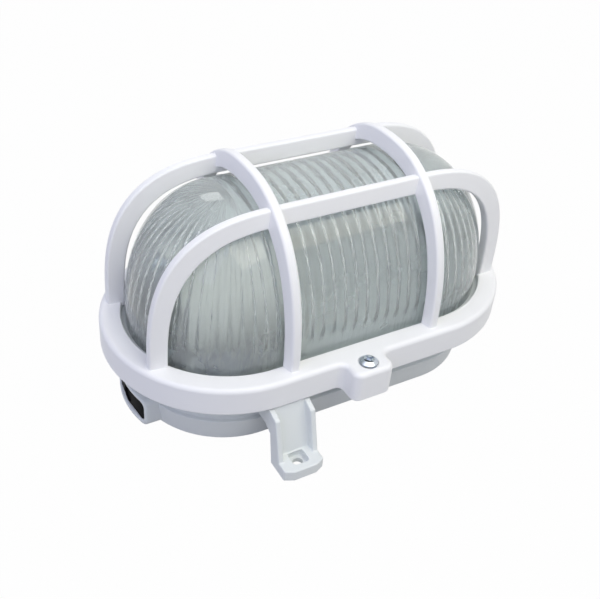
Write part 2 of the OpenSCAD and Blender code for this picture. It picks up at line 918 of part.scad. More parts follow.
module holder_terminal_screws() {
    color("silver")
        terminal_places()
            translate([0, terminal_w / 2 + head_gap, clamp_z])
                rotate([-90, 0, 0])
                    pan_screw(clamp_d, clamp_head_d, terminal_w / 2 + head_gap - lead_d / 2);
}

module holder_fixing_screws() {
    color("silver")
        holder_fixings()
            translate([0, 0, pad_t])
                pan_screw(fixing_d, fixing_head_d, pad_t + bracket_t + fixing_nut_h + fixing_end);
}

module holder_fixing_nuts() {
    color("silver")
        holder_fixings()
            translate([0, 0, -bracket_t - fixing_nut_h])
                hex_nut(fixing_nut_af, fixing_d, fixing_nut_h);
}

// The two poles of the terminal block, wires along x
module poles() {
    for (s = [-1, 1])
        translate([-block_x, s * pole_pitch / 2, 0])
            children();
}

// The clamping screws of a pole
module pole_screws() {
    poles()
        for (x = [-1, 1])
            translate([x * pole_len / 4, 0, pole_z])
                children();
}

module terminal_block() {
    tower_w = pole_pitch - pole_gap;
    color("whitesmoke")
        difference() {
            union() {
                poles()
                    translate([-pole_len / 2, -tower_w / 2, block_low])
                        cube([pole_len, tower_w, pole_h]);
                translate([-block_x - pole_len / 2, -pole_pitch / 2, block_low])
                    cube([pole_len, pole_pitch, web_h]);
            }
            poles()
                translate([-pole_len, 0, pole_z])
                    rotate([0, 90, 0])
                        cylinder(d = sleeve_d, h = 2 * pole_len);
            pole_screws()
                cylinder(d = clamp_head_d + 2 * hole_clear, h = pole_h);
            translate([-block_x, 0, 0])
                cylinder(d = small_screw_d + 2 * hole_clear, h = lamp_z);
        }
}

module terminal_sleeves() {
    color("goldenrod")
        difference() {
            poles()
                translate([-pole_len / 2 + sleeve_set, 0, pole_z])
                    rotate([0, 90, 0])
                        cylinder(d = sleeve_d - sleeve_fit, h = pole_len - 2 * sleeve_set);
            poles()
                translate([-pole_len, 0, pole_z])
                    rotate([0, 90, 0])
                        cylinder(d = lead_d + 2 * hole_clear, h = 2 * pole_len);
            pole_screws()
                cylinder(d = clamp_d, h = sleeve_d);
        }
}

module terminal_screws() {
    color("silver")
        pole_screws()
            translate([0, 0, sleeve_d / 2 + head_gap])
                pan_screw(clamp_d, clamp_head_d, sleeve_d / 2 + head_gap - lead_d / 2);
}

module terminal_fixing_screw() {
    color("silver")
        translate([-block_x, 0, block_low + web_h])
            pan_screw(small_screw_d, block_head_d, web_h + pillar_h);
}

// Lead from a pole straight back, round a bend and up into the holder's terminal
module lead(side) {
    y = side * pole_pitch / 2;
    start_x = -block_x - pole_len / 4;
    run = start_x - terminal_x - bend_r;
    translate([terminal_x + bend_r, y, pole_z])
        rotate([0, 90, 0])
            cylinder(d = lead_d, h = run);
    translate([terminal_x + bend_r, y, pole_z + bend_r])
        rotate([90, 0, 0])
            rotate([0, 0, 180])
                rotate_extrude(angle = 90)
                    translate([bend_r, 0])
                        circle(d = lead_d);
    translate([terminal_x, y, pole_z + bend_r])
        cylinder(d = lead_d, h = terminal_low + lead_in - pole_z - bend_r);
}

module lead_live() {
    color("saddlebrown")
        lead(1);
}

module lead_neutral() {
    color("steelblue")
        lead(-1);
}

base();
seal();
glass();
guard();
guard_screws();
guard_inserts();
cable_grommet();
bracket();
bracket_screws();
holder_body();
holder_shell();
centre_contact();
side_contact();
contact_rivet();
holder_terminals();
holder_terminal_screws();
holder_fixing_screws();
holder_fixing_nuts();
terminal_block();
terminal_sleeves();
terminal_screws();
terminal_fixing_screw();
lead_live();
lead_neutral();
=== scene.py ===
import math

import bmesh
import bpy
from bmesh.types import BMEdge, BMFace, BMVert
from mathutils import Matrix, Vector


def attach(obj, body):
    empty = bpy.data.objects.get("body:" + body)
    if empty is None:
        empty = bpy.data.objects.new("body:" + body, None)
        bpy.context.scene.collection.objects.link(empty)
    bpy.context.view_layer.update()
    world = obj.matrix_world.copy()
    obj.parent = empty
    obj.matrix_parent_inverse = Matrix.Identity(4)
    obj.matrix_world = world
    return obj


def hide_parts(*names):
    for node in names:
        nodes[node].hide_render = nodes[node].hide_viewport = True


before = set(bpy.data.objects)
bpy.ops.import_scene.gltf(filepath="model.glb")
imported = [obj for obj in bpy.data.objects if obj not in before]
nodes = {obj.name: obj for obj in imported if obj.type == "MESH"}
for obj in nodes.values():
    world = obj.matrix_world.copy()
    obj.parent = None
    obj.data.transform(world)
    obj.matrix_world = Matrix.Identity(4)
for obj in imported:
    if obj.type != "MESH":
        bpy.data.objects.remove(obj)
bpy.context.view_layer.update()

# Sizes in millimetres, as the solids have them
MM = 0.001
CORE = 44.0
RING_R = 56.0
RING_IN_R = 46.4
RING_LOW = 28.0
RING_TOP = 41.8
RING_WALL = 2.4
RING_EDGE = 2.2
GUARD_TOP = 114.0
HOOP_X = 36.0
HOOP_WIDTH = 4.0
HOOP_FOOT_R = 52.0
HOOP_SLANT = 1.6
HOOP_POWER = 2.34
BAR_Y = 24.6
BAR_WIDTH = 3.6
BAR_TOP = 106.4
BAR_HALF = 90.9
BAR_DEPTH = 8.2
BAR_FLAT = 31.0
BAR_POWER = 2.94
EAR_X = -4.3
EAR_WIDTH = 20.0
EAR_REACH = 10.3
EAR_DROP = 1.4
EAR_CORNER = 4.0
EAR_FILLET = 3.2
SCREW_Y = -59.4
SEAT_R = 4.4
SEAT_DEPTH = 1.0
GLASS_R = 44.5
GLASS_H = 61.42
GLASS_WALL = 3.4
GLASS_POWER = 2.28
GLASS_FOOT = 34.0
FLANGE_R = 50.7
FLANGE_TOP = 39.1
SIDE_FLUTES = 16
END_FLUTES = 25
FLUTE_DEPTH = 1.1
PLAIN_BORDER = 6.0
PLAIN_RIDGE = 9.0
FOOT_X = -39.6
FOOT_HALF = 9.75
FOOT_T = 5.6
LUG_WIDTH = 8.0
LUG_LOW = 25.4
FLOOR_T = 3.0
BACK_R = 41.3
LEDGE_R = 43.2
LEDGE_Z = 11.8
NECK_R = 41.0
BAY_R = 38.4
RIM_LOW = 29.0
RIM_R = 52.6
RIM_TOP = 32.0
COLLAR_R = 51.2
COLLAR_TOP = 34.8
BOSS_R = 48.5
BOSS_HALF = 17.0
BOSS_TOP = 14.6
SLOT_HALF = 15.0
SLOT_LOW = 2.0
SLOT_TOP = 12.6
SLOT_CORNER = 2.6

# Fine form that only the dressing has, in millimetres
BAR_SLANT = 0.9
BOSS_CORNER = 3.2
BOSS_BACK = 12.0
SLOT_BACK = 7.5
PLUG_BACK = 6.0
PLUG_SET_IN = 0.8
MARK_R = 4.0
MARK_DEPTH = 1.0
ARCH_EDGE = 1.0
MOUTH_EDGE = 0.7
MOUTH_BEVEL = 0.3
SEAT_EDGE = 0.4
SHELL_EDGE = 0.9
FOOT_EDGE = 1.0
POCKET_EDGE = 0.4
LUG_EDGE = 0.5
PILLAR_EDGE = 0.4
BOSS_EDGE = 0.8
PLUG_EDGE = 0.4
HEAD_EDGE = 0.35

# How pieces are cut out of a solid and how far they run into each other, in millimetres
GAP = 0.1
SKIN = 0.05
SAME = 0.01
WELD = 0.002
CAD_WELD = 0.001
CUT_WELD = 0.0005
ARCH_ROOT = 0.3
FLOOR_CORE_R = 20.0
FOOT_CUT_TOP = 28.5
FOOT_WALL_BAND = 12.0
FOOT_ROOT = 1.5
POCKET_BAND = 4.0
LUG_CUT_HALF = 7.0
LUG_CUT_LOW = 15.0
LUG_ROOT = 0.5
LUG_SINK = 0.6
LUG_OVER = 0.4
PILLAR_X = 60
PILLAR_Y = 20
PILLAR_CUT_LOW = 3.02
PILLAR_CUT_TOP = 9.0
PILLAR_FOOT = 2.8
PILLAR_TOP_FROM = 4.0
HEAD_FROM = 0.5
HEAD_EDGE_LENGTH = 1.2
BOSS_LONG_EDGE = 8.0

# How the flutes fade: their share of depth at the ridge and round the ends, and the way over which they grow
RIDGE_SHARE = 0.4
END_SHARE = 0.9
END_FADE = 22.0
BORDER_FADE = 2.0

# Steps of the curves, and the angles in degrees from which an edge is shaded sharp
END_STEPS = 64
FILLET_STEPS = 6
CORNER_STEPS = 8
BOSS_STEPS = 6
SLOT_STEPS = 4
BOSS_CUTS = 9
SHELL_STEPS = 56
DOME_STEPS = 40
HOOP_STEPS = 40
BAR_STEPS = 36
SEAT_STEPS = 40
MARK_STEPS = 28
GLASS_SIDE_STEPS = 8
STEPS_PER_FLUTE = 8
SHARP = 40
GLASS_SHARP = 50

HALF_TURN = Matrix.Rotation(math.pi, 4, "Z")
UP, DOWN = (0, 0, 1), (0, 0, -1)
FLUTE_UV = "flutes"
OUTER, FLUTED, FLANGE = range(3)


# Mesh helpers
def only(kind, geom):
    return [g for g in geom if isinstance(g, kind)]


def clamp(value):
    return min(max(value, 0), 1)


def weld(bm, dist=WELD):
    bmesh.ops.remove_doubles(bm, verts=bm.verts, dist=dist)


def face_out(bm):
    bmesh.ops.recalc_face_normals(bm, faces=bm.faces)


def put(bm, name, materials, sharp=SHARP):
    """Puts a bmesh that is drawn in millimetres into the scene as a smooth piece."""
    bmesh.ops.scale(bm, vec=(MM, MM, MM), verts=bm.verts)
    mesh = bpy.data.meshes.new(name)
    bm.to_mesh(mesh)
    bm.free()
    mesh.shade_smooth()
    mesh.set_sharp_from_angle(angle=math.radians(sharp))
    piece = bpy.data.objects.new(name, mesh)
    bpy.context.scene.collection.objects.link(piece)
    for material in materials:
        mesh.materials.append(material)
    return piece


def to_piece(bm, name, material, even=True):
    """Puts a welded bmesh into the scene; even shading keeps flat faces flat next to rounded edges."""
    weld(bm)
    face_out(bm)
    piece = put(bm, name, [material])
    if even:
        piece.modifiers.new("even_normals", "WEIGHTED_NORMAL").keep_sharp = True
    return piece


def add_half_turn(bm):
    """Adds a copy of everything, turned half a turn about the middle."""
    made = bmesh.ops.duplicate(bm, geom=bm.verts[:] + bm.edges[:] + bm.faces[:])["geom"]
    bmesh.ops.transform(bm, matrix=HALF_TURN, verts=only(BMVert, made))


def line(bm, start, *points):
    """Draws edges from a vertex through the points and gives back the last vertex."""
    for p in points:
        start = bmesh.ops.extrude_vert_indiv(bm, verts=[start])["verts"][0]
        start.co = Vector(p)
    return start


def arc(bm, start, centre, degrees, steps, axis=UP):
    """Draws an arc from a vertex round a centre and gives back its last vertex."""
    made = bmesh.ops.spin(bm, geom=[start], cent=centre, axis=axis, angle=math.radians(degrees), steps=steps,
                          use_merge=False)
    return only(BMVert, made["geom_last"])[0]


def edges_of(bm, draw):
    """Edges that a drawing function adds to a bmesh."""
    before = set(bm.edges)
    draw()
    return [e for e in bm.edges if e not in before]


def join(bm, drawing):
    """Adds a drawing of its own to a bmesh and gives back the edges that came in."""
    mesh = bpy.data.meshes.new("drawing")
    drawing.to_mesh(mesh)
    drawing.free()
    edges = edges_of(bm, lambda: bm.from_mesh(mesh))
    bpy.data.meshes.remove(mesh)
    return edges


def open_edges(bm):
    return [e for e in bm.edges if len(e.link_faces) == 1]


def carry(bm, edges, move):
    """Extrudes edges by a move and gives back the vertices and the edges at the end of it."""
    made = bmesh.ops.extrude_edge_only(bm, edges=edges)["geom"]
    moved = only(BMVert, made)
    bmesh.ops.translate(bm, vec=move, verts=moved)
    return moved, [e for e in only(BMEdge, made) if all(v in moved for v in e.verts)]


def carry_and_close(bm, edges, move):
    """Extrudes a loop of edges by a move and closes its end."""
    bmesh.ops.holes_fill(bm, edges=carry(bm, edges, move)[1])


def round_sharp(bm, width, segments=3, degrees=35, keep=None):
    """Rounds the edges that are sharper than an angle, and that keep() accepts."""
    bm.normal_update()
    limit = math.radians(degrees)
    edges = [e for e in bm.edges if len(e.link_faces) == 2 and e.calc_face_angle(0) > limit
             and (keep is None or keep(e))]
    bmesh.ops.bevel(bm, geom=edges, offset=width, offset_type="OFFSET", segments=segments, profile=0.5,
                    affect="EDGES", clamp_overlap=True, material=-1)


def oval_radius(co):
    """Distance from the straight core of the oval, in plan."""
    return math.hypot(max(abs(co.x) - CORE, 0), co.y)


def oval_sweep(bm, section, end_steps, side_steps=1):
    """Carries a section, given as (radius, height), round the oval."""
    verts = [bm.verts.new((CORE, -r, z)) for r, z in section]
    geom = verts + [bm.edges.new(pair) for pair in zip(verts, verts[1:])]
    for side in (1, -1):
        made = bmesh.ops.spin(bm, geom=geom, cent=(side * CORE, 0, 0), axis=UP, angle=math.pi,
                              steps=end_steps, use_merge=False)
        geom = made["geom_last"]
        for _ in range(side_steps):
            moved, ends = carry(bm, only(BMEdge, geom), (-side * 2 * CORE / side_steps, 0, 0))
            geom = moved + ends
    weld(bm)


def superellipse(half, rise, power, steps):
    """Quarter of an arch, from its foot to its crown."""
    turns = [math.pi / 2 * i / steps for i in range(steps + 1)]
    return [(half * math.cos(t) ** (2 / power) if i < steps else 0.0, rise * math.sin(t) ** (2 / power))
            for i, t in enumerate(turns)]


# Shader helpers
def add_node(tree, kind, **given):
    """Adds a node and gives its inputs a value each, or a link from another socket."""
    node = tree.nodes.new(kind)
    for name, value in given.items():
        socket = node.inputs[name.replace("_", " ")]
        if isinstance(value, bpy.types.NodeSocket):
            tree.links.new(value, socket)
        else:
            socket.default_value = value
    return node


def calculate(tree, operation, a, b):
    """Output of a node that works on a socket and on a socket or number."""
    node = tree.nodes.new("ShaderNodeMath")
    node.operation = operation
    tree.links.new(a, node.inputs[0])
    if isinstance(b, bpy.types.NodeSocket):
        tree.links.new(b, node.inputs[1])
    else:
        node.inputs[1].default_value = b
    return node.outputs[0]


def new_material(name):
    """Material with its node tree and its shader."""
    material = bpy.data.materials.new(name)
    material.use_nodes = True
    return material, material.node_tree, material.node_tree.nodes["Principled BSDF"]


# Finishes, with the heights of their relief in metres
PEBBLE_HEIGHT = 0.0002
WAVE_HEIGHT = 0.0005
STREAK_HEIGHT = 0.001
GLASS_IOR = 1.5


def group_moulding():
    """Moulded surface: faint cloudiness in the colour and the roughness, and a fine pebble in the relief."""
    group = bpy.data.node_groups.new("moulded_surface", "ShaderNodeTree")
    sockets = group.interface
    for name, kind, value in (("Tint", "NodeSocketColor", (0.8, 0.8, 0.8, 1)),
                              ("Shade", "NodeSocketColor", (0.7, 0.7, 0.7, 1)),
                              ("Cloud Scale", "NodeSocketFloat", 30.0),
                              ("Pebble Scale", "NodeSocketFloat", 1500.0),
                              ("Pebble Depth", "NodeSocketFloat", 0.06),
                              ("Rough Low", "NodeSocketFloat", 0.3),
                              ("Rough High", "NodeSocketFloat", 0.45)):
        sockets.new_socket(name, in_out="INPUT", socket_type=kind).default_value = value
    for name, kind in (("Color", "NodeSocketColor"), ("Roughness", "NodeSocketFloat"),
                       ("Normal", "NodeSocketVector")):
        sockets.new_socket(name, in_out="OUTPUT", socket_type=kind)
    given = group.nodes.new("NodeGroupInput").outputs
    out = group.nodes.new("NodeGroupOutput").inputs
    where = group.nodes.new("ShaderNodeTexCoord").outputs["Object"]
    cloud = add_node(group, "ShaderNodeTexNoise", Vector=where, Scale=given["Cloud Scale"], Detail=4)
    pebble = add_node(group, "ShaderNodeTexNoise", Vector=where, Scale=given["Pebble Scale"], Detail=2)
    mix = group.nodes.new("ShaderNodeMix")
    mix.data_type = "RGBA"
    group.links.new(cloud.outputs["Fac"], mix.inputs["Factor"])
    group.links.new(given["Tint"], mix.inputs["A"])
    group.links.new(given["Shade"], mix.inputs["B"])
    spread = add_node(group, "ShaderNodeMapRange", Value=cloud.outputs["Fac"], To_Min=given["Rough Low"],
                      To_Max=given["Rough High"])
    bump = add_node(group, "ShaderNodeBump", Distance=PEBBLE_HEIGHT, Strength=given["Pebble Depth"],
                    Height=pebble.outputs["Fac"])
    group.links.new(mix.outputs["Result"], out["Color"])
    group.links.new(spread.outputs["Result"], out["Roughness"])
    group.links.new(bump.outputs["Normal"], out["Normal"])
    return group


MOULDED = group_moulding()


def finish(name, tint, shade, metallic=0.0, cloud=30.0, pebble=1500.0, depth=0.06, rough=(0.3, 0.45), coat=0.0,
           specular=0.5):
    """Material whose colour, roughness and relief come from the moulded surface group."""
    material, tree, shader = new_material(name)
    skin = tree.nodes.new("ShaderNodeGroup")
    skin.node_tree = MOULDED
    for key, value in (("Tint", (*tint, 1)), ("Shade", (*shade, 1)), ("Cloud Scale", cloud),
                       ("Pebble Scale", pebble), ("Pebble Depth", depth), ("Rough Low", rough[0]),
                       ("Rough High", rough[1])):
        skin.inputs[key].default_value = value
    for made, taken in (("Color", "Base Color"), ("Roughness", "Roughness"), ("Normal", "Normal")):
        tree.links.new(skin.outputs[made], shader.inputs[taken])
    shader.inputs["Metallic"].default_value = metallic
    shader.inputs["Coat Weight"].default_value = coat
    shader.inputs["Specular IOR Level"].default_value = specular
    return material


def glass_finish(name, tint, rough, wave_scale, wave_depth, clear, streaks=None):
    """Pressed glass: tinted, with a faint waviness left by the mould.

    Streaks, where asked for, lie along the flutes and are given as (across, along, strength).
    """
    material, tree, shader = new_material(name)
    shader.inputs["Base Color"].default_value = (*tint, 1)
    shader.inputs["Transmission Weight"].default_value = clear
    shader.inputs["IOR"].default_value = GLASS_IOR
    where = tree.nodes.new("ShaderNodeTexCoord").outputs["Object"]
    wave = add_node(tree, "ShaderNodeTexNoise", Vector=where, Scale=wave_scale, Detail=3).outputs["Fac"]
    spread = add_node(tree, "ShaderNodeMapRange", Value=wave, To_Min=rough[0], To_Max=rough[1])
    relief = add_node(tree, "ShaderNodeBump", Distance=WAVE_HEIGHT, Strength=wave_depth, Height=wave)
    if streaks:
        across, along, strength = streaks
        place = tree.nodes.new("ShaderNodeUVMap")
        place.uv_map = FLUTE_UV
        stretch = tree.nodes.new("ShaderNodeVectorMath")
        stretch.operation = "MULTIPLY"
        stretch.inputs[1].default_value = (across, along, 1)
        tree.links.new(place.outputs["UV"], stretch.inputs[0])
        streak = add_node(tree, "ShaderNodeTexNoise", Vector=stretch.outputs["Vector"], Scale=1.0, Detail=3)
        relief = add_node(tree, "ShaderNodeBump", Distance=STREAK_HEIGHT, Strength=strength,
                          Height=streak.outputs["Fac"], Normal=relief.outputs["Normal"])
    tree.links.new(spread.outputs["Result"], shader.inputs["Roughness"])
    tree.links.new(relief.outputs["Normal"], shader.inputs["Normal"])
    return material


guard_white = finish("guard_white", (0.9, 0.9, 0.91), (0.87, 0.87, 0.89), cloud=25, rough=(0.32, 0.42), depth=0.05)
base_white = finish("base_white", (0.76, 0.79, 0.79), (0.72, 0.75, 0.76), cloud=22, rough=(0.4, 0.52), depth=0.08)
black_rubber = finish("black_rubber", (0.004, 0.004, 0.005), (0.008, 0.008, 0.009), cloud=60, rough=(0.55, 0.7),
                      depth=0.15, specular=0.04)
seal_rubber = finish("seal_rubber", (0.16, 0.16, 0.17), (0.13, 0.13, 0.14), cloud=60, rough=(0.6, 0.75), depth=0.15)
zinc = finish("zinc_plating", (0.62, 0.66, 0.72), (0.5, 0.55, 0.62), metallic=1.0, cloud=400, pebble=3000,
              depth=0.04, rough=(0.18, 0.32))
sheet_steel = finish("plated_sheet", (0.6, 0.6, 0.61), (0.52, 0.52, 0.54), metallic=1.0, cloud=90, pebble=2500,
                     depth=0.04, rough=(0.25, 0.4))
brass = finish("brass", (0.72, 0.5, 0.2), (0.6, 0.4, 0.15), metallic=1.0, cloud=150, pebble=2500, depth=0.04,
               rough=(0.2, 0.35))
porcelain = finish("porcelain", (0.85, 0.84, 0.8), (0.8, 0.79, 0.74), cloud=40, pebble=800, depth=0.03,
                   rough=(0.12, 0.2), coat=0.5)
terminal_white = finish("terminal_white", (0.78, 0.78, 0.75), (0.72, 0.72, 0.69), cloud=80, rough=(0.4, 0.5))
lead_brown = finish("lead_brown", (0.09, 0.035, 0.018), (0.07, 0.028, 0.014), cloud=150, rough=(0.35, 0.45))
lead_blue = finish("lead_blue", (0.02, 0.09, 0.32), (0.016, 0.07, 0.26), cloud=150, rough=(0.35, 0.45))
glass_outer = glass_finish("glass_outer", (0.81, 0.86, 0.865), rough=(0.03, 0.08), wave_scale=35, wave_depth=0.15,
                           clear=0.86)
glass_flange = glass_finish("glass_flange", (0.8, 0.85, 0.855), rough=(0.35, 0.5), wave_scale=35, wave_depth=0.15,
                            clear=0.35)
glass_fluted = glass_finish("glass_fluted", (0.86, 0.91, 0.92), rough=(0.2, 0.32), wave_scale=60, wave_depth=0.3,
                            clear=0.86, streaks=(2.6, 5.0, 0.45))


# Guard
def guard_loop(bm, inset, z, drop):
    """Outline of the ring with its ears, moved in by a distance, its ears let down by a drop."""
    outline = bmesh.new()
    left, right = EAR_X - EAR_WIDTH / 2, EAR_X + EAR_WIDTH / 2
    front, tip = -RING_R, -RING_R - EAR_REACH
    f, c = EAR_FILLET, EAR_CORNER
    v = outline.verts.new((left - f, front + inset, z))
    v = arc(outline, v, (left - f, front - f, z), -90, FILLET_STEPS)
    v = line(outline, v, (left + inset, tip + c, z))
    v = arc(outline, v, (left + c, tip + c, z), 90, CORNER_STEPS)
    v = line(outline, v, (right - c, tip + inset, z))
    v = arc(outline, v, (right - c, tip + c, z), 90, CORNER_STEPS)
    v = line(outline, v, (right - inset, front - f, z))
    v = arc(outline, v, (right + f, front - f, z), -90, FILLET_STEPS)
    v = line(outline, v, (CORE, front + inset, z))
    v = arc(outline, v, (CORE, 0, z), 180, END_STEPS)
    line(outline, v, (f - left, -front - inset, z))
    for v in outline.verts:
        v.co.z -= drop * clamp((oval_radius(v.co) + inset - RING_R) / f)
    add_half_turn(outline)
    weld(outline)
    return join(bm, outline)


def oval_loop(bm, radius, z):
    outline = bmesh.new()
    v = outline.verts.new((CORE, -radius, z))
    v = arc(outline, v, (CORE, 0, z), 180, END_STEPS)
    line(outline, v, (-CORE, radius, z))
    add_half_turn(outline)
    weld(outline)
    return join(bm, outline)


def circle_loop(bm, x, y, z, radius):
    return edges_of(bm, lambda: bmesh.ops.create_circle(
        bm, radius=radius, segments=SEAT_STEPS, matrix=Matrix.Translation((x, y, z))))


def skin_over(bm, loops):
    """Faces between each loop of edges and the next."""
    for a, b in zip(loops, loops[1:]):
        bmesh.ops.bridge_loops(bm, edges=a + b)


def quarter_round(radius, steps=5):
    """Steps of a quarter turn as (run, rise), from (0, 0) to (radius, radius), flat first."""
    turns = [math.pi / 2 * i / steps for i in range(steps + 1)]
    return [(radius * math.sin(t), radius - radius * math.cos(t)) for t in turns]


def guard_ring():
    """Ring with its ears: a skin of outlines from the top over the round edge, down the wall and up its inside."""
    bm = bmesh.new()
    top, low, wall, edge = RING_TOP, RING_LOW, RING_WALL, RING_EDGE
    lip = wall / 2
    skin = [(edge - run, top - fall, 0) for run, fall in quarter_round(edge)]
    skin += [(fall, low + lip - run, 1) for run, fall in quarter_round(lip)]
    skin += [(lip + run, low + fall, 1) for run, fall in quarter_round(lip)[1:]]
    skin += [(wall, top - wall, 0)]
    loops = [guard_loop(bm, inset, z, EAR_DROP * lowered) for inset, z, lowered in skin]
    skin_over(bm, loops)
    mouth = [(RING_IN_R + MOUTH_EDGE - run, top - fall) for run, fall in quarter_round(MOUTH_EDGE)]
    mouth += [(RING_IN_R, top - wall + MOUTH_BEVEL), (RING_IN_R + MOUTH_BEVEL, top - wall)]
    opening = [oval_loop(bm, r, z) for r, z in mouth]
    skin_over(bm, opening)
    steps = [(SEAT_R + SEAT_EDGE - run, top - fall) for run, fall in quarter_round(SEAT_EDGE, 3)]
    steps += [(SEAT_R, top - SEAT_DEPTH)]
    tube_low = RIM_TOP + GAP
    tube = top - wall - RIM_TOP - GAP
    seats = []
    for sign in (1, -1):
        x, y = sign * EAR_X, sign * SCREW_Y
        seat = [circle_loop(bm, x, y, z, r) for r, z in steps]
        skin_over(bm, seat)
        bmesh.ops.holes_fill(bm, edges=seat[-1])
        seats += seat[0]
        bmesh.ops.create_cone(bm, cap_ends=True, segments=SEAT_STEPS, radius1=SEAT_R, radius2=SEAT_R, depth=tube,
                              matrix=Matrix.Translation((x, y, tube_low + tube / 2)))
    bmesh.ops.triangle_fill(bm, edges=loops[0] + opening[0] + seats, use_beauty=True, normal=UP)
    bmesh.ops.triangle_fill(bm, edges=loops[-1] + opening[-1], use_beauty=True, normal=DOWN)
    return bm


def arch_bar(bm, outer, inner, half_outer, half_inner, along):
    """Bar between two arch outlines, with a width at each of them and round edges."""
    band = bmesh.new()
    rails = []
    for outline, across in ((outer, -half_outer), (outer, half_outer), (inner, half_inner), (inner, -half_inner)):
        path = outline + [(-a, b) for a, b in reversed(outline[:-1])]
        verts = [band.verts.new((a, across, b) if along else (across, a, b)) for a, b in path]
        rails.append([band.edges.new(pair) for pair in zip(verts, verts[1:])])
    skin_over(band, rails + rails[:1])
    face_out(band)
    round_sharp(band, ARCH_EDGE, segments=4, degrees=60)
    bmesh.ops.holes_fill(band, edges=open_edges(band))
    join(bm, band)


def with_foot(outline):
    """Arch outline on the ring's top face, with its foot run down into the ring."""
    return [(outline[0][0], RING_TOP - RING_WALL + ARCH_ROOT)] + [(a, RING_TOP + b) for a, b in outline]


def guard_hoops():
    bm = bmesh.new()
    rise = GUARD_TOP - RING_TOP
    outer = with_foot(superellipse(HOOP_FOOT_R, rise, HOOP_POWER, HOOP_STEPS))
    inner = with_foot(superellipse(RING_IN_R, rise * RING_IN_R / HOOP_FOOT_R, HOOP_POWER, HOOP_STEPS))
    arch_bar(bm, outer, inner, HOOP_WIDTH / 2, HOOP_WIDTH / 2 + HOOP_SLANT, along=False)
    bmesh.ops.translate(bm, vec=(HOOP_X, 0, 0), verts=bm.verts)
    add_half_turn(bm)
    return bm


def guard_bars():
    bm = bmesh.new()
    rise = BAR_TOP - RING_TOP

    def outline(inset):
        quarter = superellipse(BAR_HALF - BAR_FLAT - inset, rise - inset, BAR_POWER, BAR_STEPS)
        return with_foot([(a + BAR_FLAT, b) for a, b in quarter] + [(0.0, rise - inset)])

    arch_bar(bm, outline(0), outline(BAR_DEPTH), BAR_WIDTH / 2, BAR_WIDTH / 2 + BAR_SLANT, along=True)
    bmesh.ops.translate(bm, vec=(0, -BAR_Y, 0), verts=bm.verts)
    add_half_turn(bm)
    return bm


ring = to_piece(guard_ring(), "guard_ring_and_ears", guard_white)
hoops = to_piece(guard_hoops(), "guard_hoops", guard_white)
bars = to_piece(guard_bars(), "guard_bars", guard_white)


# Glass
def dome(radius, height):
    return [(a, RING_TOP + b) for a, b in superellipse(radius, height, GLASS_POWER, DOME_STEPS)]


def flute_place(co, on_side):
    """Count of flutes up to a point, along the side or round the end."""
    if on_side:
        return (co.x + CORE) / (2 * CORE) * SIDE_FLUTES
    return math.atan2(co.y, abs(co.x) - CORE) / math.pi * END_FLUTES + END_FLUTES / 2


def flute_share(co, on_side):
    """Share of the flutes' depth at a point: none in the border, less towards the ridge."""
    r = oval_radius(co)
    if on_side:
        share = RIDGE_SHARE + (1 - RIDGE_SHARE) * min(r / PLAIN_RIDGE, 1)
    else:
        share = END_SHARE * clamp((r - PLAIN_RIDGE) / END_FADE)
    return share * clamp((co.z - RING_TOP - PLAIN_BORDER) / BORDER_FADE)


def glass_outside():
    """Smooth outside with its flange."""
    bm = bmesh.new()
    flange = [(FLANGE_R, GLASS_FOOT), (FLANGE_R, FLANGE_TOP), (GLASS_R, FLANGE_TOP)]
    oval_sweep(bm, flange + dome(GLASS_R, GLASS_H), END_STEPS, GLASS_SIDE_STEPS)
    face_out(bm)
    for face in bm.faces:
        face.material_index = FLANGE if max(v.co.z for v in face.verts) < FLANGE_TOP + SAME else OUTER
    bm.loops.layers.uv.new(FLUTE_UV)
    return bm


def glass_inside():
    """Inside, fluted between plain borders, with a map that counts the flutes."""
    bm = bmesh.new()
    inside_r, inside_h = GLASS_R - GLASS_WALL, GLASS_H - GLASS_WALL
    oval_sweep(bm, [(inside_r, GLASS_FOOT)] + dome(inside_r, inside_h), END_FLUTES * STEPS_PER_FLUTE,
               SIDE_FLUTES * STEPS_PER_FLUTE)
    face_out(bm)
    bm.normal_update()
    along = bm.loops.layers.uv.new(FLUTE_UV)
    for face in bm.faces:
        face.material_index = FLUTED
        middle = face.calc_center_median()
        on_side = abs(middle.x) < CORE
        field = math.copysign(1, middle.y) if on_side else math.copysign(3, middle.x)
        apart = 2 * END_FLUTES * field
        for corner in face.loops:
            co = corner.vert.co
            corner[along].uv = (flute_place(co, on_side) + apart, (co.z - RING_TOP) / GLASS_H)
    for v in bm.verts:
        on_side = abs(v.co.x) <= CORE
        wave = 0.5 - 0.5 * math.cos(2 * math.pi * flute_place(v.co, on_side))
        v.co += v.normal * (FLUTE_DEPTH * flute_share(v.co, on_side) * wave)
    bmesh.ops.reverse_faces(bm, faces=bm.faces)
    return bm


def glass_dome():
    """Closed shell of the outside, the inside and a flat foot between them."""
    bm = glass_outside()
    join(bm, glass_inside())
    made = bmesh.ops.triangle_fill(bm, edges=open_edges(bm), use_beauty=True, normal=DOWN)["geom"]
    bm.normal_update()
    bmesh.ops.reverse_faces(bm, faces=[f for f in only(BMFace, made) if f.normal.z > 0])
    return bm


glass = put(glass_dome(), "glass_dome", [glass_outer, glass_fluted, glass_flange], GLASS_SHARP)


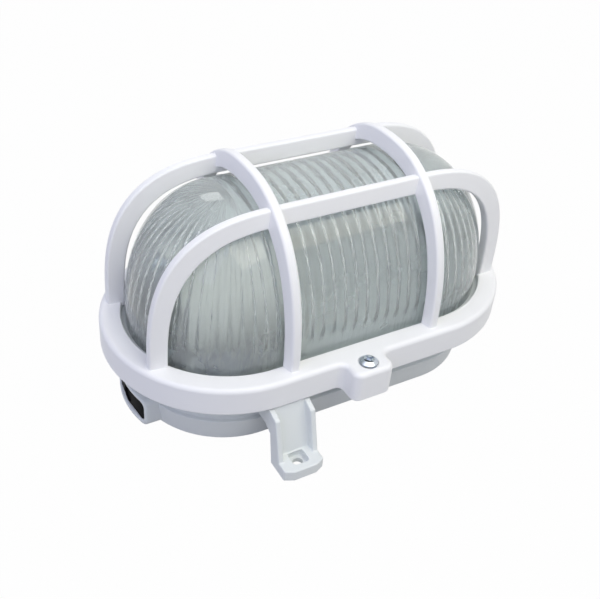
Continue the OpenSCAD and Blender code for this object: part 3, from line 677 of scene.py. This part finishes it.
# Base
def base_shell():
    bm = bmesh.new()
    section = [(FLOOR_CORE_R, 0), (BACK_R, 0), (LEDGE_R, LEDGE_Z), (NECK_R, LEDGE_Z), (NECK_R, RIM_LOW),
               (RIM_R, RIM_LOW), (RIM_R, COLLAR_TOP), (COLLAR_R, COLLAR_TOP), (COLLAR_R, RIM_TOP), (BAY_R, RIM_TOP),
               (BAY_R, FLOOR_T), (FLOOR_CORE_R, FLOOR_T)]
    oval_sweep(bm, section, SHELL_STEPS)
    bmesh.ops.holes_fill(bm, edges=open_edges(bm))
    face_out(bm)
    round_sharp(bm, SHELL_EDGE)
    return bm


def cad_copy(node, cuts):
    """Copy of a solid's mesh, cut off at planes given as (point, outward direction) and merged to clean faces."""
    bm = bmesh.new()
    bm.from_mesh(nodes[node].data)
    bmesh.ops.scale(bm, vec=(1 / MM, 1 / MM, 1 / MM), verts=bm.verts)
    weld(bm, CAD_WELD)
    for point, out in cuts:
        bmesh.ops.bisect_plane(bm, geom=bm.verts[:] + bm.edges[:] + bm.faces[:], dist=CUT_WELD, plane_co=point,
                               plane_no=out, clear_outer=True)
    bmesh.ops.dissolve_limit(bm, angle_limit=math.radians(0.5), verts=bm.verts, edges=bm.edges)
    return bm


def base_feet():
    """Near foot, run a little into the neck, and its copy on the far side."""
    bm = cad_copy("base", [((0, -NECK_R - SKIN, 0), (0, 1, 0)), ((FOOT_X + FOOT_HALF + GAP, 0, 0), (1, 0, 0)),
                           ((FOOT_X - FOOT_HALF - GAP, 0, 0), (-1, 0, 0)), ((0, 0, FOOT_CUT_TOP), UP)])
    wall = [v for v in bm.verts if v.co.y > -RING_R + FOOT_WALL_BAND and v.co.z < LEDGE_Z + GAP]
    bmesh.ops.delete(bm, geom=wall, context="VERTS")
    carry_and_close(bm, open_edges(bm), (0, FOOT_ROOT, 0))
    face_out(bm)
    round_sharp(bm, FOOT_EDGE, segments=4, keep=lambda e: all(
        abs(v.co.x - FOOT_X) > POCKET_BAND and v.co.y < -NECK_R - 2 * GAP for v in e.verts))
    round_sharp(bm, POCKET_EDGE, segments=2, keep=lambda e: all(
        abs(v.co.x - FOOT_X) < POCKET_BAND and abs(v.co.z - FOOT_T) < SAME for v in e.verts))
    add_half_turn(bm)
    return bm


def floor_pillars():
    """Pillars on the floor, run a little into it."""
    sides = [((0, y, 0), (0, y, 0)) for y in (PILLAR_Y, -PILLAR_Y)]
    ends = [((x, 0, 0), (x, 0, 0)) for x in (PILLAR_X, -PILLAR_X)]
    bm = cad_copy("base", sides + ends + [((0, 0, PILLAR_CUT_LOW), DOWN), ((0, 0, PILLAR_CUT_TOP), UP)])
    rims = open_edges(bm)
    for v in {v for e in rims for v in e.verts}:
        v.co.z = PILLAR_FOOT
    bmesh.ops.triangle_fill(bm, edges=rims, use_beauty=True, normal=DOWN)
    face_out(bm)
    round_sharp(bm, PILLAR_EDGE, segments=2, keep=lambda e: all(v.co.z > PILLAR_TOP_FROM for v in e.verts))
    return bm


def base_lugs():
    """Lugs that the guard screws turn into, with the web under the rim, and the pillars on the floor."""
    bm = cad_copy("base", [((EAR_X - LUG_CUT_HALF, 0, 0), (-1, 0, 0)), ((EAR_X + LUG_CUT_HALF, 0, 0), (1, 0, 0)),
                           ((0, -RIM_R - SKIN, 0), (0, 1, 0)), ((0, 0, LUG_CUT_LOW), DOWN)])
    carry_and_close(bm, open_edges(bm), (0, LUG_ROOT, 0))
    face_out(bm)
    round_sharp(bm, LUG_EDGE, segments=2, keep=lambda e: all(v.co.y < -RIM_R - GAP for v in e.verts))
    middle = (EAR_X, -(RIM_R + NECK_R) / 2, (LUG_LOW + RIM_LOW + LUG_OVER) / 2)
    web = (LUG_WIDTH, RIM_R - NECK_R + LUG_SINK, RIM_LOW - LUG_LOW + LUG_OVER, 1)
    bmesh.ops.create_cube(bm, size=1, matrix=Matrix.Translation(middle) @ Matrix.Diagonal(web))
    add_half_turn(bm)
    join(bm, floor_pillars())
    return bm


def guard_screw_heads():
    """Guard screws with the edges of their heads rounded."""
    bm = cad_copy("guard_screws", [])
    head = RING_TOP - SEAT_DEPTH + HEAD_FROM
    round_sharp(bm, HEAD_EDGE, degrees=25,
                keep=lambda e: all(v.co.z > head for v in e.verts) and e.calc_length() < HEAD_EDGE_LENGTH)
    return bm


def rounded_loop(bm, half, low, high, corner, steps):
    """Upright rectangle with round corners, drawn in the plane x = 0."""
    outline = bmesh.new()
    v = outline.verts.new((0, half, low + corner))
    for sy, sz in ((1, 1), (-1, 1), (-1, -1), (1, -1)):
        cy, cz = sy * (half - corner), high - corner if sz > 0 else low + corner
        v = line(outline, v, (0, cy + corner * sy, cz) if sy == sz else (0, cy, cz + corner * sz))
        v = arc(outline, v, (0, cy, cz), 90, steps, axis=(1, 0, 0))
    weld(outline)
    return join(bm, outline)


def wrap_on_end(bm, radius):
    """Bends a flat front round the end of the oval and closes the back of it."""
    for v in bm.verts:
        v.co.x += -CORE - math.sqrt(radius ** 2 - v.co.y ** 2)
    back = bmesh.ops.holes_fill(bm, edges=open_edges(bm))["faces"]
    bmesh.ops.triangulate(bm, faces=back)


def cable_boss():
    """Boss on the left end, open at the front in a slot for the plug."""
    bm = bmesh.new()
    outer = rounded_loop(bm, BOSS_HALF, SKIN, BOSS_TOP, BOSS_CORNER, BOSS_STEPS)
    slot = rounded_loop(bm, SLOT_HALF, SLOT_LOW, SLOT_TOP, SLOT_CORNER, SLOT_STEPS)
    bmesh.ops.bridge_loops(bm, edges=outer + slot)
    carry(bm, outer, (BOSS_BACK, 0, 0))
    carry(bm, slot, (SLOT_BACK, 0, 0))
    face_out(bm)
    round_sharp(bm, BOSS_EDGE, degrees=60)
    level = [e for e in bm.edges if abs(e.verts[0].co.y - e.verts[1].co.y) > BOSS_LONG_EDGE]
    bmesh.ops.subdivide_edges(bm, edges=level, cuts=BOSS_CUTS, use_grid_fill=True)
    wrap_on_end(bm, BOSS_R)
    return bm


def grommet_plug():
    """Plug in the boss's slot, with a round mark for the cable."""
    bm = bmesh.new()
    plug = rounded_loop(bm, SLOT_HALF - GAP, SLOT_LOW + GAP, SLOT_TOP - GAP, SLOT_CORNER, BOSS_STEPS)
    upright = Matrix.Translation((0, 0, (SLOT_LOW + SLOT_TOP) / 2)) @ Matrix.Rotation(math.pi / 2, 4, "Y")
    made = bmesh.ops.create_circle(bm, radius=MARK_R, segments=MARK_STEPS, matrix=upright)
    mark = list({e for v in made["verts"] for e in v.link_edges})
    bmesh.ops.bridge_loops(bm, edges=plug + mark)
    carry(bm, plug, (PLUG_BACK, 0, 0))
    carry_and_close(bm, mark, (MARK_DEPTH, 0, 0))
    face_out(bm)
    round_sharp(bm, PLUG_EDGE, segments=2, degrees=60)
    wrap_on_end(bm, BOSS_R - PLUG_SET_IN)
    return bm


shell = to_piece(base_shell(), "base_shell", base_white)
feet = to_piece(base_feet(), "base_feet", base_white)
boss = to_piece(cable_boss(), "base_cable_boss", base_white, even=False)
lugs = to_piece(base_lugs(), "base_lugs_and_pillars", base_white)
plug = to_piece(grommet_plug(), "cable_grommet_plug", black_rubber, even=False)
screws = to_piece(guard_screw_heads(), "guard_screws_rounded", zinc)

# Solids that keep their own shape take these finishes
for name, material in (("seal", seal_rubber), ("guard_inserts", brass), ("bracket", sheet_steel),
                       ("bracket_screws", zinc), ("holder_body", porcelain), ("holder_shell", brass),
                       ("centre_contact", brass), ("side_contact", brass), ("contact_rivet", brass),
                       ("holder_terminals", brass), ("holder_terminal_screws", zinc),
                       ("holder_fixing_screws", zinc), ("holder_fixing_nuts", zinc),
                       ("terminal_block", terminal_white), ("terminal_sleeves", brass), ("terminal_screws", zinc),
                       ("terminal_fixing_screw", zinc), ("lead_live", lead_brown), ("lead_neutral", lead_blue)):
    mesh = nodes[name].data
    mesh.materials.clear()
    mesh.materials.append(material)

for piece, node, slot in ((ring, "guard", "guard_plastic"), (hoops, "guard", "guard_plastic"),
                          (bars, "guard", "guard_plastic"), (glass, "glass", "fluted_glass"),
                          (shell, "base", "base_plastic"), (feet, "base", "base_plastic"),
                          (boss, "base", "base_plastic"), (lugs, "base", "base_plastic"),
                          (plug, "cable_grommet", "black_rubber"), (screws, "guard_screws", "zinc_steel")):
    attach(piece, "root")
    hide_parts(node)


# Stage, light and camera: the floor's sizes in millimetres, the lamps' and the camera's near limit in metres
FLOOR_HALF = 6000.0
FLOOR_DROP = 0.2
FLOOR_GREY = 0.42
FLOOR_ROUGH = 0.9
FLOOR_SHEEN = 0.1
FLOOR_WHITE_SHARE = 0.985
ROOM_COLOUR = (0.83, 0.86, 1.0, 1)
ROOM_STRENGTH = 0.545
WHITE = (1, 1, 1, 1)
SENSOR_WIDTH = 36
NEAR_LIMIT = 0.01


def show_white(tree, lit, kind, share, out):
    """Shows white to rays from the camera, through glass and off shiny faces, and a lit shader to the others."""
    white = add_node(tree, kind, Color=WHITE, Strength=1.0)
    rays = tree.nodes.new("ShaderNodeLightPath").outputs
    seen = calculate(tree, "MAXIMUM", rays["Is Camera Ray"], rays["Is Transmission Ray"])
    seen = calculate(tree, "MAXIMUM", seen, rays["Is Glossy Ray"])
    mix = tree.nodes.new("ShaderNodeMixShader")
    for socket, source in zip(mix.inputs, (calculate(tree, "MULTIPLY", seen, share), lit, white.outputs[0])):
        tree.links.new(source, socket)
    tree.links.new(mix.outputs["Shader"], tree.nodes[out].inputs["Surface"])


def add_stage():
    bm = bmesh.new()
    bmesh.ops.create_grid(bm, x_segments=1, y_segments=1, size=FLOOR_HALF,
                          matrix=Matrix.Translation((0, 0, -FLOOR_DROP)))
    material, tree, shader = new_material("floor_white")
    shader.inputs["Base Color"].default_value = (FLOOR_GREY, FLOOR_GREY, FLOOR_GREY, 1)
    shader.inputs["Roughness"].default_value = FLOOR_ROUGH
    shader.inputs["Specular IOR Level"].default_value = FLOOR_SHEEN
    show_white(tree, shader.outputs["BSDF"], "ShaderNodeEmission", FLOOR_WHITE_SHARE, "Material Output")
    floor = put(bm, "floor", [material])


def add_world():
    world = bpy.data.worlds.new("studio")
    bpy.context.scene.world = world
    world.use_nodes = True
    tree = world.node_tree
    room = tree.nodes["Background"]
    room.inputs["Color"].default_value = ROOM_COLOUR
    room.inputs["Strength"].default_value = ROOM_STRENGTH
    show_white(tree, room.outputs["Background"], "ShaderNodeBackground", 1.0, "World Output")


def add_lamp(name, place, aim, size, watts, colour):
    lamp = bpy.data.lights.new(name, "AREA")
    lamp.shape = "SQUARE"
    lamp.size = size
    lamp.energy = watts
    lamp.color = colour
    held = bpy.data.objects.new(name, lamp)
    bpy.context.scene.collection.objects.link(held)
    held.location = place
    held.rotation_euler = (Vector(aim) - Vector(place)).to_track_quat("-Z", "Y").to_euler()


def add_camera():
    """Camera fitted to the photo: its direction, roll and distance, its sideways slides and its focal length."""
    azimuth, elevation, roll = math.radians(-32.84), math.radians(36.76), math.radians(5.46)
    distance, focal_px, frame_px = 419.22, 882.43, 600
    slide_x, slide_y, aim_z = -4.0, -8.22, 43.0
    flat = math.cos(elevation)
    back = Vector((math.sin(azimuth) * flat, -math.cos(azimuth) * flat, math.sin(elevation)))
    level = Vector((math.cos(azimuth), math.sin(azimuth), 0))
    rise = back.cross(level)
    right = level * math.cos(roll) + rise * math.sin(roll)
    up = rise * math.cos(roll) - level * math.sin(roll)
    place = (Vector((0, 0, aim_z)) + back * distance + right * slide_x + up * slide_y) * MM
    lens = bpy.data.cameras.new("photo_camera")
    lens.sensor_fit = "HORIZONTAL"
    lens.sensor_width = SENSOR_WIDTH
    lens.lens = focal_px / frame_px * SENSOR_WIDTH
    lens.clip_start = NEAR_LIMIT
    camera = bpy.data.objects.new("photo_camera", lens)
    bpy.context.scene.collection.objects.link(camera)
    camera.matrix_world = Matrix(((right.x, up.x, back.x, place.x), (right.y, up.y, back.y, place.y),
                                  (right.z, up.z, back.z, place.z), (0, 0, 0, 1)))
    bpy.context.scene.camera = camera


add_stage()
add_world()
add_lamp("key_above_front", place=(0.1, -0.3, 0.62), aim=(0, 0, 0.06), size=0.6, watts=2.65,
         colour=(1.0, 0.985, 0.82))
add_lamp("fill_left", place=(-0.7, -0.3, 0.75), aim=(0, 0, 0.06), size=0.9, watts=2.9, colour=(0.7, 0.73, 1.0))
add_lamp("window_behind", place=(0.08, 0.59, 0.63), aim=(-0.05, 0, 0.1), size=0.2, watts=0.4,
         colour=(1.0, 1.0, 1.0))
add_camera()
bpy.context.scene.view_settings.view_transform = "Standard"
